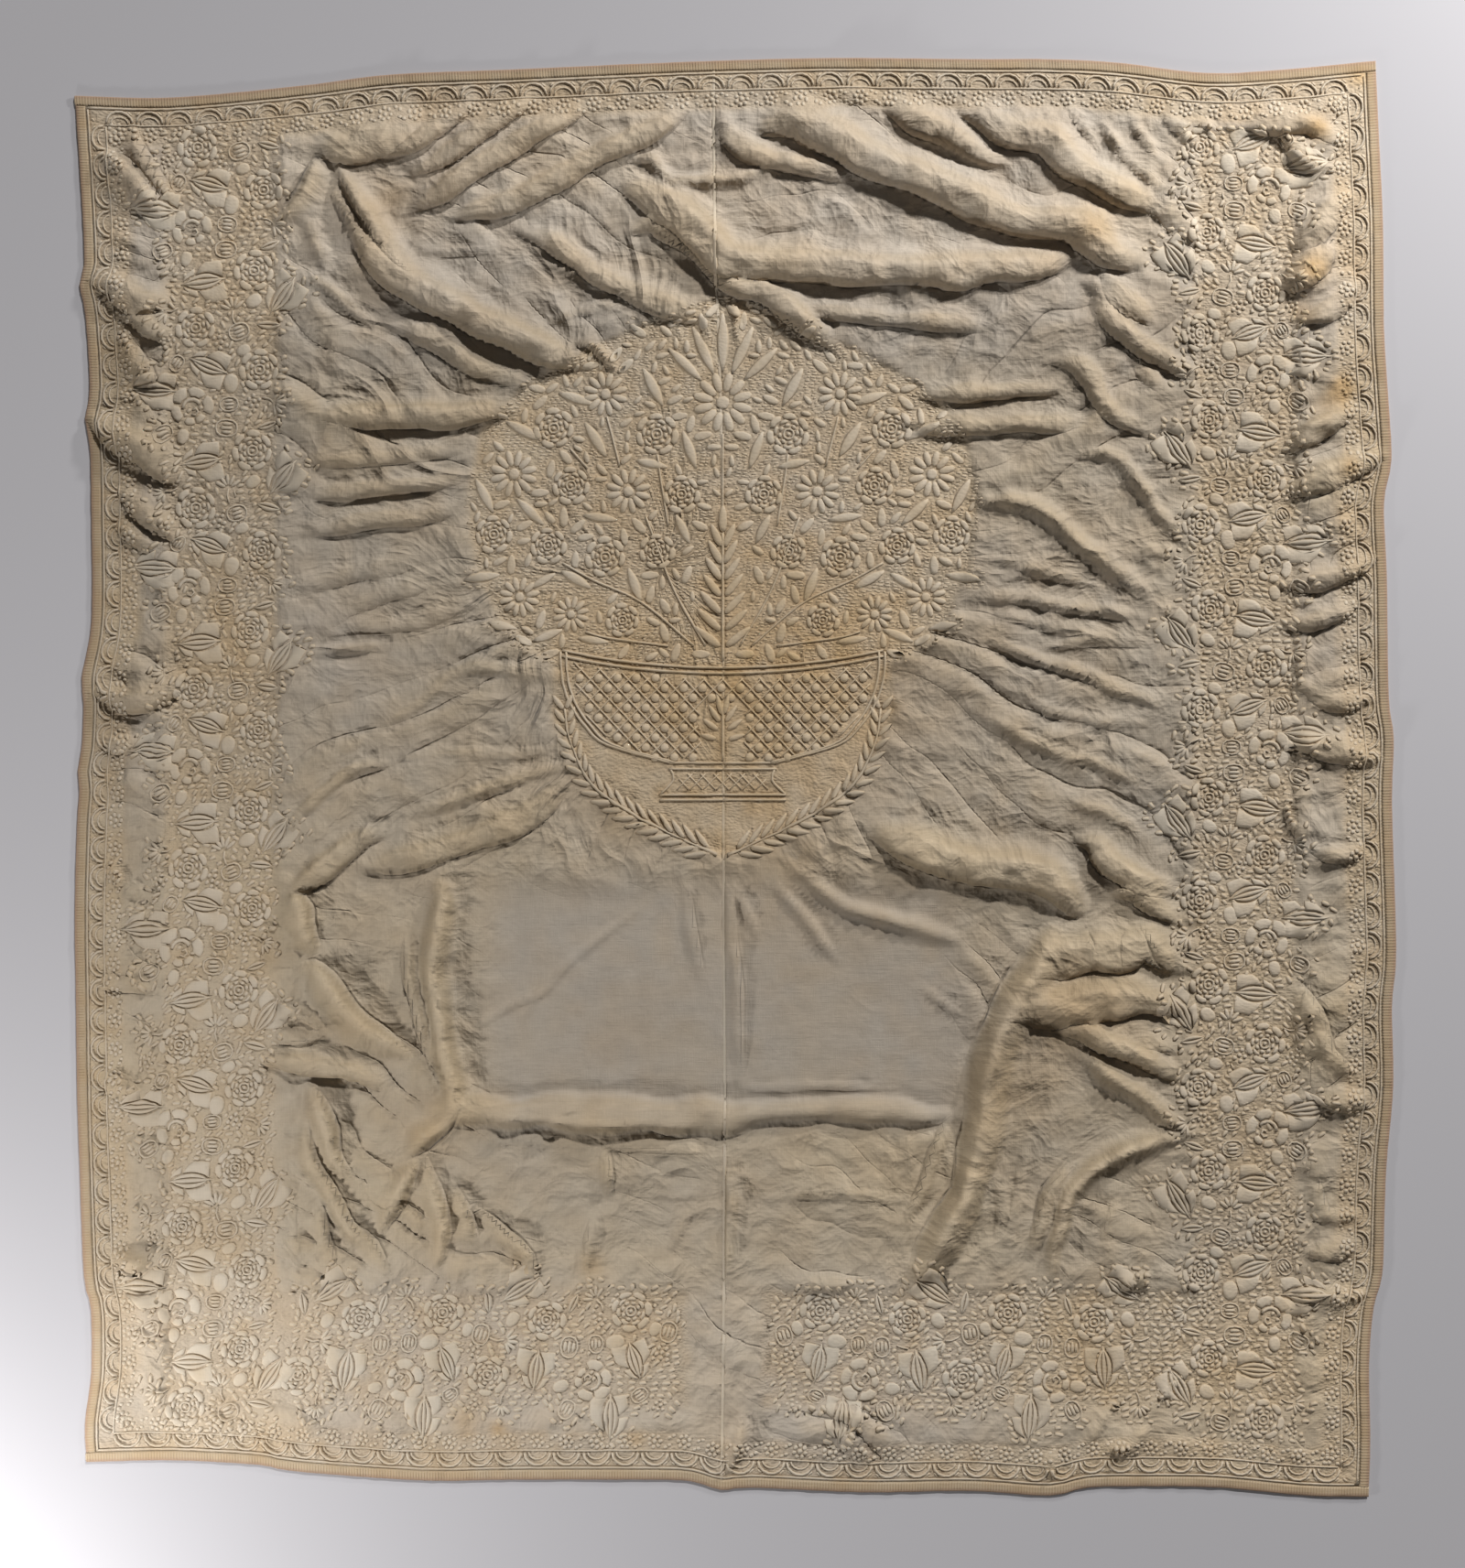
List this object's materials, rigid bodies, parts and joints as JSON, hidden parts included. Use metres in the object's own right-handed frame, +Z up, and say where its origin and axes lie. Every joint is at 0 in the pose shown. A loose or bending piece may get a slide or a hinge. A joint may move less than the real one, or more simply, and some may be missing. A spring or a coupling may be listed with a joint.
{
  "type": "whitework counterpane",
  "caption": "Stuffed and corded whitework counterpane lying open on a flat surface, with its folds and puckers and a narrow edge tape.",
  "frame": {"origin": "centre of the bounding box in plan, on the surface that the cloth lies on", "axes": "+Z up from the surface, +Y to the top edge, +X to the right edge as seen from above"},
  "size_m": [2.308, 2.514, 0.0384],
  "materials": {
    "quilted_cotton": "matt aged cream cotton",
    "edge_tape": "matt ribbed tan cotton tape"
  },
  "bodies": {
    "root": {"left_width": "quilted_cotton", "right_width": "quilted_cotton", "binding_top": "edge_tape", "binding_bottom": "edge_tape", "binding_left": "edge_tape", "binding_right": "edge_tape"}
  },
  "joints": []
}
